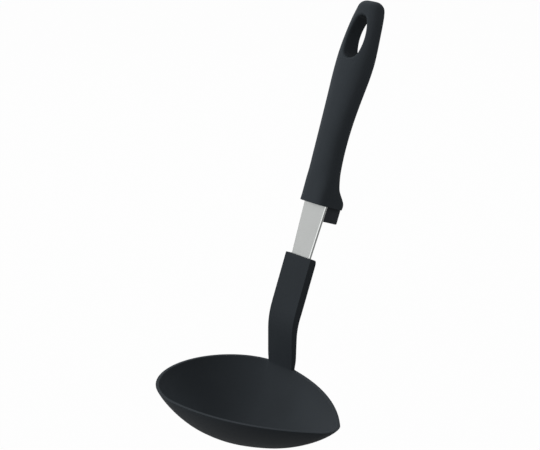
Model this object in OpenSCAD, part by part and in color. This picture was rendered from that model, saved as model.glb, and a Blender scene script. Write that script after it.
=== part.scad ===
// Side-spout ladle: a bowl drawn out to a pouring tip on one side, a leaning neck moulded with it,
// a flat steel tang, and a moulded handle with a hanging hole and a stop lug for a pot's rim.
// The rim lies level, +Z is up, the tip points to +X and the handle leans back to +Y.
// The origin is the middle of the hanging hole, on the middle plane of the tang.

/* [Bowl] */
// Outside radius of the round part of the rim
bowl_r = 41.7; // [37:0.1:46]
// Outside radius of the pouring tip
tip_r = 8.9; // [6:0.1:12]
// Distance from the middle of the round part to the middle of the tip
tip_reach = 80.8; // [72:0.1:90]
// Outside radius of the two long sides between the round part and the tip
side_r = 130; // [120:1:150]
// Outside depth of the bowl below its rim
bowl_depth = 33.5; // [28:0.1:40]
// Thickness of the bowl's wall
bowl_wall = 2; // [1.6:0.1:2.4]
// Distance of the round part's middle from the neck's middle
bowl_shift = 3; // [0:0.5:6]
// Distance of the deepest point from the round part's middle, towards the tip
deep_shift = 4.5; // [0:0.5:10]

/* [Neck] */
// Width of the neck
neck_w = 21; // [20:0.5:24]
// Thickness of the neck at its top
neck_t = 4.8; // [4.6:0.1:6]
// Thickness of the neck where it grows out of the rim
neck_base_t = 3.2; // [2.6:0.1:4]
// Height above the rim at which the neck's front face turns back
neck_rise = 28.5; // [24:0.5:34]
// Length of the leaning part of the neck
neck_len = 41; // [38:0.5:46]
// Radius of the turn on the front face
bend_r = 55; // [45:1:65]
// Angle by which the handle leans back
lean = 21.4; // [15:0.1:28]
// Chamfer on the back edge of the neck's top
neck_chamfer = 1.2; // [0.6:0.1:1.4]

/* [Tang] */
// Thickness of the tang
tang_t = 1.8; // [1.5:0.1:2.2]
// Width of the tang where it leaves the neck
tang_low_w = 15; // [13:0.1:16]
// Width of the tang where it enters the handle
tang_high_w = 18.4; // [17:0.1:19]
// Length of tang that shows between neck and handle
tang_show = 31.6; // [26:0.1:38]
// Length of tang held in the neck
tang_in_neck = 30; // [24:0.5:34]
// Length of tang held in the handle
tang_in_grip = 70; // [60:1:76]
// Width of the narrow tail of the tang in the handle
tail_w = 9.4; // [8:0.1:10]
// Depth to which the wide part of the tang enters the handle
mouth_in = 3; // [2:0.1:4]
// Diameter of the locking holes in the neck
lock_d = 6; // [4:0.1:8]
// Diameter of the locking holes in the tail
tail_lock_d = 4.4; // [3:0.1:5]
// Distance between locking holes
lock_pitch = 12; // [10:0.5:13]

/* [Handle] */
// Length of the grip
grip_len = 122.8; // [110:0.1:140]
// Width of the grip at its fullest
grip_w = 25.4; // [23:0.1:28]
// Distance from the tang's middle plane to the front of the grip at its fullest
grip_front = 8.7; // [8.2:0.1:10]
// Distance from the tang's middle plane to the back of the grip at its fullest
grip_back = 6.8; // [6.4:0.1:8]
// Rounding of the grip's top end
end_r = 4; // [2:0.1:5]
// Width of the core inside the grip
core_w = 12.4; // [11.5:0.1:13]
// Thickness of the core inside the grip
core_t = 6; // [5:0.1:6.4]
// Length of the core above the end of the tang
core_past = 6; // [3:0.5:8]

/* [Stop lug] */
// Width of the stop lug
lug_w = 16.4; // [13:0.1:18]
// Distance from the tang's middle plane to the back of the stop lug
lug_reach = 13.4; // [11:0.1:14]
// Height of the stop lug below the grip
lug_h = 9; // [6:0.1:14]
// Chamfer on the lug's lower back edge
lug_chamfer = 1; // [0.4:0.1:2]
// Height of the lug's root inside the grip
root_h = 9; // [8:0.1:9]
// Distance of the lug's root from the grip's back face
root_inset = 3.2; // [2.4:0.1:4]

/* [Hanging hole] */
// Radius of the hole's lower end
hole_low_r = 5.9; // [5:0.1:6.4]
// Radius of the hole's upper end
hole_high_r = 3.7; // [2.6:0.1:4]
// Distance between the middles of the two ends
hole_reach = 16; // [14:0.1:18]
// Radius of the hole's long sides
hole_side_r = 28; // [24:0.5:40]
// Distance from the grip's top end to the middle of the hole's upper end
hole_down = 13.2; // [12:0.1:16]

/* [Fits] */
// Clearance between the tang and the mouldings round it
tang_fit = 0.1; // [0.05:0.05:0.2]
// Clearance between the core and the grip
core_fit = 0.1; // [0.05:0.05:0.2]

/* [Hidden] */

// Colours
plastic = "#2e3338";
grip_plastic = "#30363a";
steel = "#c2c5c4";

// Overrun of a cut past the face it opens
over = 0.5;

// Smoothness: steps along each arc of an outline, rings down the bowl, steps round the neck's turn
round_steps = 30;
side_steps = 9;
tip_steps = 8;
bowl_rings = 12;
bend_steps = 10;
hole_round_steps = 12;
lock_fn = 48;

// Shape of the bowl's wall from the rim to the deepest point, which is rounded off
wall_power = 1.7;
lip_power = 0.84;
floor_share = 0.15;

// How slowly the pouring tip sharpens down the bowl, and how blunt it stays near the floor
tip_power = 0.5;
tip_cap_share = 0.85;

// Level of the bowl at which the neck's root ends inside the wall
root_level_share = 0.86;
// How far through the wall the neck's root lies, from outside in
root_wall_share = 0.8;

// Places along the leaning line, measured from the front face's turn
neck_top = neck_len;
grip_at = neck_top + tang_show;
grip_end = grip_at + grip_len;
tang_bottom = neck_top - tang_in_neck;
tang_top = grip_at + tang_in_grip;
shoulder_at = grip_at + mouth_in;
core_at = shoulder_at + tang_fit;
core_top = tang_top + core_past;
lug_at = grip_at - lug_h;
hole_high = grip_end - hole_down;
hole_low = hole_high - hole_reach;
hole_mid = (hole_low + hole_high) / 2;

// The topmost locking hole in the neck and in the tail, and how many there are down from it
neck_lock_first = neck_top - lock_d;
neck_lock_count = 2;
tail_lock_first = tang_top - tail_lock_d;
tail_lock_count = 4;

// The tang's middle plane, measured back from the neck's front face
tang_y = neck_t / 2;

// Half widths of the tang, which widens evenly from the neck to the handle
tang_taper = (tang_high_w - tang_low_w) / 2 / tang_show;
tang_foot_half = tang_low_w / 2 - tang_taper * tang_in_neck;
tang_shoulder_half = tang_high_w / 2 + tang_taper * mouth_in;

// The origin, measured from the neck's front face at the level of the rim
origin_y = hole_mid * sin(lean) + tang_y * cos(lean);
origin_z = neck_rise + hole_mid * cos(lean) - tang_y * sin(lean);

// The turn of the neck's front face
bend_tangent = bend_r * tan(lean / 2);
bend_start = neck_rise - bend_tangent;

// Middle of the bowl's round part, measured back from the neck's front face
bowl_y = neck_base_t - bowl_r;

// Sections of the grip: place along it, then width, front and back as shares of the fullest sizes
grip_section_shares = [
    [0, 0.807, 0.73, 2.14],
    [0.03, 0.807, 0.75, 2.24],
    [0.06, 0.807, 0.76, 1.76],
    [0.09, 0.807, 0.77, 1.27],
    [0.12, 0.807, 0.8, 1.11],
    [0.16, 0.8, 0.87, 1],
    [0.2, 0.785, 0.92, 0.92],
    [0.27, 0.772, 0.97, 0.82],
    [0.36, 0.789, 1, 0.76],
    [0.45, 0.841, 0.99, 0.76],
    [0.55, 0.918, 0.975, 0.85],
    [0.62, 0.98, 0.96, 0.93],
    [0.7, 1, 0.955, 1],
    [0.76, 0.99, 0.906, 0.936],
    [0.84, 0.919, 0.82, 0.862],
    [0.9, 0.839, 0.753, 0.857],
    [0.94, 0.757, 0.695, 0.866],
    [0.968, 0.69, 0.65, 0.83],
    [1, 0.62, 0.56, 0.74]
];
// Roundness of the grip's section: squarer at the mouth, rounder along the rest
mouth_power = 4.6;
grip_power = 2.4;
mouth_power_share = 0.16;
// Rings along the grip, rings of its rounded end, and points round each ring
grip_rings = 26;
end_rings = 5;
ring_points = 40;
// Share of the grip's length below its rounded end
straight_share = 1 - end_r / grip_len;

// Points of an arc, without its last point
function arc(middle, r, from, to, steps) =
    [for (i = [0 : steps - 1])
        let (a = from + (to - from) * i / steps)
        middle + r * [cos(a), sin(a)]];

// Middle of the circle that the upper long side is cut from
function side_middle(big_r, small_r, reach, r) =
    let (
        x = (pow(r - big_r, 2) - pow(r - small_r, 2) + reach * reach) / (2 * reach)
    )
    [x, -sqrt(pow(r - big_r, 2) - x * x)];

// Closed outline of four arcs that run smoothly into each other: a large end at the origin,
// a small end at the given reach along +X, and two long sides
function four_arc(big_r, small_r, reach, r, steps) =
    let (
        m = side_middle(big_r, small_r, reach, r),
        big_a = atan2(-m.y, -m.x),
        small_a = atan2(-m.y, reach - m.x)
    )
    concat(
        arc([reach, 0], small_r, -small_a, small_a, tip_steps),
        arc(m, r, small_a, big_a, side_steps),
        arc([0, 0], big_r, big_a, 360 - big_a, steps),
        arc([m.x, -m.y], r, -big_a, -small_a, side_steps)
    );

// Share of the bowl's depth reached where its outline has shrunk to the given level
function wall_term(level) = pow(level * level + floor_share * floor_share, wall_power / 2);

function fall(level) =
    pow((wall_term(1) - wall_term(level)) / (wall_term(1) - wall_term(0)), lip_power);

// Outline of the bowl at a level, drawn in by an inset, with a tip that stays blunt lower down
function bowl_outline(inset, level) =
    let (
        big = (bowl_r - inset) * level,
        small = min((tip_r - inset) * pow(level, tip_power), big * tip_cap_share),
        reach = (tip_reach + tip_r - inset) * level - small
    )
    four_arc(big, small, reach, (side_r - inset) * level, round_steps);

// One ring of the bowl: the outline at a level, about the deepest point and at its depth
function bowl_ring(inset, level) =
    [for (p = bowl_outline(inset, level))
        [p.x + deep_shift * (1 - level), p.y, (inset - bowl_depth) * fall(level)]];

// Levels of the bowl's rings, closer together near the rim
function ring_level(i) = cos(90 * i / bowl_rings);

// Smooth value between the rows of a table, by a cubic through each pair of neighbours
function row_slope(rows, i, col) =
    let (
        a = max(i - 1, 0),
        b = min(i + 1, len(rows) - 1)
    )
    (rows[b][col] - rows[a][col]) / (rows[b][0] - rows[a][0]);

function blend(a, b, slope_a, slope_b, span, u) =
    a * (2 * u * u * u - 3 * u * u + 1)
    + b * (3 * u * u - 2 * u * u * u)
    + slope_a * span * (u * u * u - 2 * u * u + u)
    + slope_b * span * (u * u * u - u * u);

function smooth_row(rows, at, col, i = 0) =
    at > rows[i + 1][0] && i < len(rows) - 2
    ? smooth_row(rows, at, col, i + 1)
    : let (
        span = rows[i + 1][0] - rows[i][0],
        u = (at - rows[i][0]) / span
    )
    blend(rows[i][col], rows[i + 1][col], row_slope(rows, i, col), row_slope(rows, i + 1, col), span, u);

function grip_value(at_share, col) = smooth_row(grip_section_shares, at_share, col);

function signed_power(v, p) = sign(v) * pow(abs(v), p);

// One ring of the grip at a share of its length, drawn in by an inset near the rounded end
function grip_ring(at_share, inset) =
    let (
        half_w = grip_w / 2 * grip_value(at_share, 1) - inset,
        front = grip_front * grip_value(at_share, 2) - inset,
        back = grip_back * grip_value(at_share, 3) - inset,
        squareness = max(0, 1 - at_share / mouth_power_share),
        power = grip_power + (mouth_power - grip_power) * squareness,
        mid = (back - front) / 2,
        half_d = (back + front) / 2
    )
    [for (j = [0 : ring_points - 1])
        let (a = 360 * j / ring_points)
        [half_w * signed_power(cos(a), 2 / power),
         mid + half_d * signed_power(sin(a), 2 / power),
         grip_at + grip_len * at_share]];

// Inset and share of the length at each ring of the rounded end
function end_inset(i) = end_r * (1 - cos(90 * i / end_rings));
function end_share(i) = straight_share + end_r / grip_len * sin(90 * i / end_rings);

// The back of the lug's root, from the tang's middle plane
root_back = grip_back * grip_value(root_h / grip_len, 3) - root_inset;

// The rim's frame: the neck's front face at the level of the rim
module at_rim() {
    translate([0, -origin_y, -origin_z])
        children();
}

// The leaning frame: z along the handle from the front face's turn, y back from the tang's plane
module on_lean() {
    at_rim()
        translate([0, 0, neck_rise])
            rotate([-lean, 0, 0])
                translate([0, tang_y, 0])
                    children();
}

// An outline in the leaning frame's x and z, with a thickness across the tang's plane
module flat_on_lean(thickness) {
    on_lean()
        rotate([90, 0, 0])
            linear_extrude(thickness, center = true)
                children();
}

// An outline in the rim frame's y and z, with a width across the neck
module side_profile(width) {
    at_rim()
        rotate([90, 0, 90])
            linear_extrude(width, center = true)
                children();
}

module bowl_shell() {
    n = len(bowl_outline(0, 1));
    rings = bowl_rings;
    inner = n * rings + 1;
    points = concat(
        [for (i = [0 : rings - 1]) each bowl_ring(0, ring_level(i))],
        [[deep_shift, 0, -bowl_depth]],
        [for (i = [0 : rings - 1]) each bowl_ring(bowl_wall, ring_level(i))],
        [[deep_shift, 0, bowl_wall - bowl_depth]]
    );
    faces = concat(
        [for (i = [0 : rings - 2], j = [0 : n - 1])
            [i * n + j, i * n + (j + 1) % n, (i + 1) * n + (j + 1) % n, (i + 1) * n + j]],
        [for (i = [0 : rings - 2], j = [0 : n - 1])
            [inner + i * n + j, inner + (i + 1) * n + j,
             inner + (i + 1) * n + (j + 1) % n, inner + i * n + (j + 1) % n]],
        [for (j = [0 : n - 1]) [(j + 1) % n, j, inner + j, inner + (j + 1) % n]],
        [for (j = [0 : n - 1]) [(rings - 1) * n + j, (rings - 1) * n + (j + 1) % n, rings * n]],
        [for (j = [0 : n - 1])
            [inner + (rings - 1) * n + j, inner + rings * n, inner + (rings - 1) * n + (j + 1) % n]]
    );
    at_rim()
        translate([-bowl_shift, bowl_y, 0])
            polyhedron(points, faces);
}

// The neck's side profile: up the front face, round the turn, and down the back face
module neck_profile() {
    front_dir = [sin(lean), cos(lean)];
    back_dir = [cos(lean), -sin(lean)];
    turn = [0, neck_rise];
    top_front = turn + neck_top * front_dir;
    root = [
        bowl_y + (bowl_r - bowl_wall * root_wall_share) * root_level_share,
        -(bowl_depth - bowl_wall * root_wall_share) * fall(root_level_share)
    ];
    front = [for (i = [0 : bend_steps])
        let (a = lean * i / bend_steps)
        [bend_r * (1 - cos(a)), bend_start + bend_r * sin(a)]];
    back = [for (i = [bend_steps : -1 : 0])
        let (
            a = lean * i / bend_steps,
            t = neck_base_t + (neck_t - neck_base_t) * (1 + i / bend_steps) / 2
        )
        front[i] + t * [cos(a), -sin(a)]];
    polygon(concat(
        [root, [0, -bowl_wall]],
        front,
        [top_front],
        [top_front + (neck_t - neck_chamfer) * back_dir],
        [top_front + neck_t * back_dir - neck_chamfer * front_dir],
        back,
        [[neck_base_t, 0]]
    ));
}

// The tang's outline without its holes, grown all round by a clearance
module tang_outline(grow) {
    foot = tang_bottom - grow;
    half = [tang_foot_half + grow, tang_shoulder_half + grow, tail_w / 2 + grow];
    polygon([
        [-half[0], foot],
        [half[0], foot],
        [half[1], shoulder_at + grow],
        [half[2], shoulder_at + grow],
        [half[2], tang_top + grow],
        [-half[2], tang_top + grow],
        [-half[2], shoulder_at + grow],
        [-half[1], shoulder_at + grow]
    ]);
}

module tang_blank(grow) {
    flat_on_lean(tang_t + 2 * grow)
        tang_outline(grow);
}

// Round pegs or holes through the tang, down from a first place along the handle
module lock_row(first, count, d, through) {
    for (i = [0 : count - 1]) {
        on_lean()
            translate([0, 0, first - i * lock_pitch])
                rotate([90, 0, 0])
                    cylinder(h = through, d = d, center = true, $fn = lock_fn);
    }
}

module neck_locks(shrink, through) {
    lock_row(neck_lock_first, neck_lock_count, lock_d - 2 * shrink, through);
}

module tail_locks(shrink, through) {
    lock_row(tail_lock_first, tail_lock_count, tail_lock_d - 2 * shrink, through);
}

// Bowl and neck are one moulding, which fills the tang's locking holes
module bowl_and_neck() {
    color(plastic)
        union() {
            difference() {
                union() {
                    bowl_shell();
                    side_profile(neck_w)
                        neck_profile();
                }
                tang_blank(tang_fit);
            }
            neck_locks(tang_fit, tang_t + 4 * tang_fit);
        }
}

module tang() {
    color(steel)
        difference() {
            tang_blank(0);
            neck_locks(0, tang_t + 2 * over);
            tail_locks(0, tang_t + 2 * over);
        }
}

// The core's plate, grown all round by a clearance
module core_plate(grow) {
    flat_on_lean(core_t + 2 * grow)
        translate([0, (core_at + core_top) / 2])
            square([core_w + 2 * grow, core_top - core_at + 2 * grow], center = true);
}

// The lug's root, from the lug's underside up into the grip, grown by a clearance
module lug_root(grow) {
    front = tang_t / 2 + tang_fit - grow;
    width = core_w + 2 * grow;
    depth = root_back + grow - front;
    on_lean()
        translate([-width / 2, front, lug_at])
            cube([width, depth, lug_h + root_h + grow]);
}

// The part of the lug that shows, with its lower back edge chamfered
module lug_block() {
    front = tang_t / 2 + tang_fit;
    on_lean()
        rotate([90, 0, 90])
            linear_extrude(lug_w, center = true)
                polygon([
                    [front, lug_at],
                    [lug_reach - lug_chamfer, lug_at],
                    [lug_reach, lug_at + lug_chamfer],
                    [lug_reach, grip_at - core_fit],
                    [front, grip_at - core_fit]
                ]);
}

// The hard core is moulded round the tang's tail and carries the stop lug
module handle_core() {
    color(plastic)
        union() {
            difference() {
                union() {
                    core_plate(0);
                    lug_root(0);
                    lug_block();
                }
                tang_blank(tang_fit);
            }
            tail_locks(tang_fit, tang_t + 4 * tang_fit);
        }
}

module grip_body() {
    rings = concat(
        [for (i = [0 : grip_rings]) grip_ring(straight_share * i / grip_rings, 0)],
        [for (i = [1 : end_rings]) grip_ring(end_share(i), end_inset(i))]
    );
    n = ring_points;
    last = len(rings) - 1;
    points = [for (r = rings) each r];
    faces = concat(
        [for (i = [0 : last - 1], j = [0 : n - 1])
            [i * n + j, (i + 1) * n + j, (i + 1) * n + (j + 1) % n]],
        [for (i = [0 : last - 1], j = [0 : n - 1])
            [i * n + j, (i + 1) * n + (j + 1) % n, i * n + (j + 1) % n]],
        [[for (j = [0 : n - 1]) j]],
        [[for (j = [n - 1 : -1 : 0]) last * n + j]]
    );
    on_lean()
        polyhedron(points, faces);
}

module hanging_hole() {
    flat_on_lean(2 * (grip_front + grip_back))
        translate([0, hole_low])
            rotate(90)
                polygon(four_arc(hole_low_r, hole_high_r, hole_reach, hole_side_r, hole_round_steps));
}

// The grip is moulded round the core and ends in a solid eye for the hanging hole
module grip() {
    color(grip_plastic)
        difference() {
            grip_body();
            core_plate(core_fit);
            lug_root(core_fit);
            tang_blank(tang_fit);
            hanging_hole();
        }
}

bowl_and_neck();
tang();
handle_core();
grip();
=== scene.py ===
"""A ladle with a pouring tip on one side, a steel strip for its shank and a moulded grip.

The CAD solids give each piece its place and size. The pieces made here stand for them with
rounded rims, blended roots, softened edges and moulded or brushed finishes.
"""
import math
from types import SimpleNamespace

import bmesh
import bpy
from bpy.props import FloatProperty, FloatVectorProperty, PointerProperty
from mathutils import Matrix, Vector


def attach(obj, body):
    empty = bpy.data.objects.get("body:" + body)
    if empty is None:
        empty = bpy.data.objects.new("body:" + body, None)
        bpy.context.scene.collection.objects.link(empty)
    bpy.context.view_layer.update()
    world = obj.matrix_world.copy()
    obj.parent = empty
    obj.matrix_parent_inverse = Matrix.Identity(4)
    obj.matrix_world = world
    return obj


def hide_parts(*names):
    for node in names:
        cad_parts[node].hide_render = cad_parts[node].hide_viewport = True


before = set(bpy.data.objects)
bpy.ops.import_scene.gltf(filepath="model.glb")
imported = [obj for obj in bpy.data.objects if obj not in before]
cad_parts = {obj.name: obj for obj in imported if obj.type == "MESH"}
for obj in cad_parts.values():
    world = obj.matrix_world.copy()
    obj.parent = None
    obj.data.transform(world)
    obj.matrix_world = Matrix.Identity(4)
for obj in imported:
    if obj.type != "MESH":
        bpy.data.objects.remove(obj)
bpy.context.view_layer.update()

bl_info = {
    "name": "Side-spout ladle",
    "version": (1, 0, 0),
    "blender": (4, 5, 0),
    "location": "View3D > Sidebar > Ladle",
    "description": "Builds a ladle with a pouring tip, a steel shank and a moulded grip",
    "category": "Add Mesh",
}

# Steps round each arc of the bowl's outline
TIP_STEPS = 12
BACK_SIDE_STEPS = 10
ROUND_STEPS = 44
FRONT_SIDE_STEPS = 14
# Columns of the neck, as shares of its half width, and the columns beside it on the rim
NECK_COLUMNS = (-1, -0.965, -0.66, -0.33, 0, 0.33, 0.66, 0.965, 1)
RIM_COLUMNS = (1.08, 1.26, 1.54)
# Levels of the bowl's wall from the floor up to just below the rim
WALL_LEVELS = (0.05, 0.12, 0.2, 0.3, 0.41, 0.52, 0.63, 0.73, 0.82, 0.89, 0.945, 0.982)
# The rim's edges: where their middle rings lie, as shares of the wall and of the rounding
RIM_EDGE_SHARE = 0.05
RIM_FALL_SHARE = 0.15
# How far the wall inside swells to meet the neck, ring by ring from the rim down, and beside it
SWELL_SHARES = (1, 0.72, 0.4, 0.15)
SWELL_SIDE_SHARE = 0.4
# How the wall falls from the rim to the floor, and how blunt the tip stays below the rim
WALL_POWER = 1.7
LIP_POWER = 0.84
FLOOR_SHARE = 0.15
TIP_POWER = 0.5
TIP_CAP_SHARE = 0.85
# Heights of the neck's lowest rings above the rim, and the height over which its root blends in
ROOT_HEIGHTS = (0.0011, 0.0027, 0.0052, 0.0095, 0.0145)
ROOT_BLEND = 0.0055
# Steps of the neck's turn, and the rings of its straight top part as shares of it
TURN_STEPS = 6
NECK_TOP_SHARES = (0.3, 0.6, 0.85)
# The neck's top: the ring below its chamfer, then its softened edge
CHAMFER_FROM_SHARE = 1.3
CHAMFER_START_SHARE = 0.8
TOP_EDGE_DROP = 0.00015
TOP_EDGE_INSET = 0.0002
# Sections of the grip: place along it, then width, front and back as shares of the fullest
GRIP_SECTIONS = (
    (0, 0.807, 0.73, 2.14), (0.03, 0.807, 0.75, 2.24), (0.06, 0.807, 0.76, 1.76),
    (0.09, 0.807, 0.77, 1.27), (0.12, 0.807, 0.8, 1.11), (0.16, 0.8, 0.87, 1),
    (0.2, 0.785, 0.92, 0.92), (0.27, 0.772, 0.97, 0.82), (0.36, 0.789, 1, 0.76),
    (0.45, 0.841, 0.99, 0.76), (0.55, 0.918, 0.975, 0.85), (0.62, 0.98, 0.96, 0.93),
    (0.7, 1, 0.955, 1), (0.76, 0.99, 0.906, 0.936), (0.84, 0.919, 0.82, 0.862),
    (0.9, 0.839, 0.753, 0.857), (0.94, 0.757, 0.695, 0.866), (0.968, 0.69, 0.65, 0.83),
    (1, 0.62, 0.56, 0.74),
)
GRIP_POWER = 2.4
MOUTH_POWER = 4.6
MOUTH_SHARE = 0.16
# Places of the grip's rings below and above the hanging hole, as shares of the grip's length
GRIP_RINGS = (0.012, 0.03, 0.05, 0.068, 0.086, 0.105, 0.13, 0.16, 0.2, 0.25, 0.3, 0.36, 0.42,
              0.48, 0.53, 0.58, 0.62, 0.65, 0.673, 0.69)
GRIP_TOP_RINGS = (0.942, 0.954)
# Place along the grip from which its rings turn with the tilted top end
END_FROM = 0.93
GRIP_COLUMNS = 52
# The grip's bottom ring and the inner ring of its top face, as shares of their roundings
MOUTH_INSET_SHARE = 0.15
END_INSET_SHARE = 0.25
# How the grip's columns are drawn aside round the hanging hole, as shares of the hole's sizes
SPREAD_MIDDLE_SHARE = 0.9
SPREAD_REACH_SHARE = 1.45
SPREAD_WIDTH_SHARE = 1.14
SPREAD_POWER = 1.2
# Steps round one half of the hanging hole's outline: its big end, long side and small end
HOLE_END_STEPS = 5
HOLE_SIDE_STEPS = 6
HOLE_TIP_STEPS = 4
ROUNDING_STEPS = 3
END_STEPS = 5
# Digits to which vertices are told apart when they are sorted
PLACE_DIGITS = 6
# Levels of subdivision on the moulded pieces, and segments of the bevels on the cut ones
SMOOTH_LEVELS = 2
LUG_SEGMENTS = 4
STRIP_SEGMENTS = 2
SHARP_ANGLE = math.radians(40)
# Scales of the patterns in the finishes, and how the brushing is drawn out along the strip
CLOUD_SCALE = 42
SPECK_SCALE = 900
GRAIN_SCALE = 3200
STAIN_SCALE = 60
BROAD_STROKE_SCALE = 900
FINE_STROKE_SCALE = 5200
BROAD_STROKE_STRETCH = (1, 1, 0.05)
FINE_STROKE_STRETCH = (1, 1, 0.02)
# How the finishes vary: shares of the colour, depths of the bumps, and the painted highlight that
# brightens the steel's polished bevels
PLASTIC_SHADES = (0.84, 1.16)
STEEL_SHADES = (0.93, 1.05)
EDGE_GLINT_SHARE = 1.7
PLASTIC_BUMP = 0.00006
STEEL_BUMP = 0.00002
# The moulded plastic mirrors very little
PLASTIC_IOR = 1.48
PLASTIC_SPECULAR = 0.07
# The stage: camera's sensor in millimetres and clipping, floor, and brightness round the ladle
SENSOR_WIDTH = 36
CLIP_NEAR = 0.01
CLIP_FAR = 100
FLOOR_HALF = 6
FLOOR_GREY = 0.3
FLOOR_SEEN = 0.98
FLOOR_MIRRORED = 0.05
PALE_AZIMUTH = math.radians(-15)
PALE_TURN = 0.6
PALE_LOWEST = 0.3
SKY_RISE = 0.6


class LadleBowlSizes(bpy.types.PropertyGroup):
    round_radius: FloatProperty(
        name="Round part", description="Outside radius of the round part of the rim",
        default=0.0417, min=0.01, unit="LENGTH")
    tip_radius: FloatProperty(
        name="Tip", description="Outside radius of the pouring tip",
        default=0.0097, min=0.002, unit="LENGTH")
    tip_reach: FloatProperty(
        name="Tip reach", description="Distance from the round part's middle to the tip's middle",
        default=0.0801, min=0.02, unit="LENGTH")
    side_radius: FloatProperty(
        name="Long sides", description="Outside radius of the two long sides",
        default=0.13, min=0.05, unit="LENGTH")
    depth: FloatProperty(
        name="Depth", description="Outside depth of the bowl below its rim",
        default=0.0335, min=0.01, unit="LENGTH")
    wall: FloatProperty(
        name="Wall", description="Thickness of the bowl's wall",
        default=0.002, min=0.001, unit="LENGTH")
    shift: FloatProperty(
        name="Bowl shift", description="Distance of the round part's middle from the neck's middle",
        default=0.003, unit="LENGTH")
    deep_shift: FloatProperty(
        name="Deepest point", description="Distance of the deepest point from the round part's middle",
        default=0.0045, unit="LENGTH")
    rim_tilt: FloatProperty(
        name="Rim tilt", description="Angle by which the rim falls away to the front",
        default=math.radians(0.45), unit="ROTATION")
    rim_round: FloatProperty(
        name="Rim rounding", description="Height over which the rim's edges are rounded",
        default=0.00012, min=0, unit="LENGTH")


class LadleNeckSizes(bpy.types.PropertyGroup):
    width: FloatProperty(
        name="Width", description="Width of the neck",
        default=0.021, min=0.005, unit="LENGTH")
    thickness: FloatProperty(
        name="Thickness", description="Thickness of the neck at its top",
        default=0.0048, min=0.002, unit="LENGTH")
    base_thickness: FloatProperty(
        name="Root thickness", description="Thickness of the neck where it leaves the rim",
        default=0.0032, min=0.002, unit="LENGTH")
    rise: FloatProperty(
        name="Rise", description="Height above the rim at which the front face turns back",
        default=0.0285, unit="LENGTH")
    length: FloatProperty(
        name="Length", description="Length of the leaning part",
        default=0.0406, unit="LENGTH")
    bend_radius: FloatProperty(
        name="Turn", description="Radius of the turn on the front face",
        default=0.044, unit="LENGTH")
    flare: FloatProperty(
        name="Flare", description="Distance by which the neck is fuller all round at its top",
        default=0.00022, min=0, unit="LENGTH")
    back_fullness: FloatProperty(
        name="Back fullness", description="Extra thickness on the neck's back",
        default=0.00005, min=0, unit="LENGTH")
    chamfer: FloatProperty(
        name="Top chamfer", description="Chamfer on the back edge of the top",
        default=0.0012, min=0, unit="LENGTH")
    edge: FloatProperty(
        name="Edge", description="Distance over which the long edges are rounded",
        default=0.0003, min=0, unit="LENGTH")


class LadleShankSizes(bpy.types.PropertyGroup):
    thickness: FloatProperty(
        name="Thickness", description="Thickness of the steel strip",
        default=0.0018, min=0.001, unit="LENGTH")
    low_width: FloatProperty(
        name="Lower width", description="Width where the strip leaves the neck",
        default=0.0153, min=0.005, unit="LENGTH")
    high_width: FloatProperty(
        name="Upper width", description="Width where the strip enters the grip",
        default=0.0184, min=0.005, unit="LENGTH")
    shows: FloatProperty(
        name="Showing length", description="Length between neck and grip",
        default=0.032, unit="LENGTH")
    in_neck: FloatProperty(
        name="Length in neck", description="Length held in the neck",
        default=0.0296, unit="LENGTH")
    in_grip: FloatProperty(
        name="Length in grip", description="Length held in the grip",
        default=0.07, unit="LENGTH")
    tail_width: FloatProperty(
        name="Tail width", description="Width of the narrow tail in the grip",
        default=0.0094, unit="LENGTH")
    mouth_in: FloatProperty(
        name="Shoulder depth", description="Depth to which the wide part enters the grip",
        default=0.003, unit="LENGTH")
    edge: FloatProperty(
        name="Edge bevel", description="Width of the bevel on the strip's long edges",
        default=0.0006, min=0, unit="LENGTH")


class LadleCoreSizes(bpy.types.PropertyGroup):
    lug_width: FloatProperty(
        name="Lug width", description="Width of the stop lug",
        default=0.0164, unit="LENGTH")
    lug_reach: FloatProperty(
        name="Lug reach", description="Distance from the strip's middle plane to the lug's back",
        default=0.0134, unit="LENGTH")
    lug_height: FloatProperty(
        name="Lug height", description="Height of the stop lug below the grip",
        default=0.009, unit="LENGTH")
    edge: FloatProperty(
        name="Lug edges", description="Rounding of the stop lug's edges",
        default=0.0007, min=0, unit="LENGTH")
    width: FloatProperty(
        name="Core width", description="Width of the core inside the grip",
        default=0.0124, unit="LENGTH")
    thickness: FloatProperty(
        name="Core thickness", description="Thickness of the core inside the grip",
        default=0.006, unit="LENGTH")
    past: FloatProperty(
        name="Core above strip", description="Length of the core above the strip's end",
        default=0.006, unit="LENGTH")
    root_height: FloatProperty(
        name="Root height", description="Height of the lug's root inside the grip",
        default=0.009, unit="LENGTH")
    root_inset: FloatProperty(
        name="Root inset", description="Distance of the root's back below the grip's back",
        default=0.0032, unit="LENGTH")
    fit: FloatProperty(
        name="Clearance", description="Clearance between the core and what lies round it",
        default=0.0001, min=0, unit="LENGTH")


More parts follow.
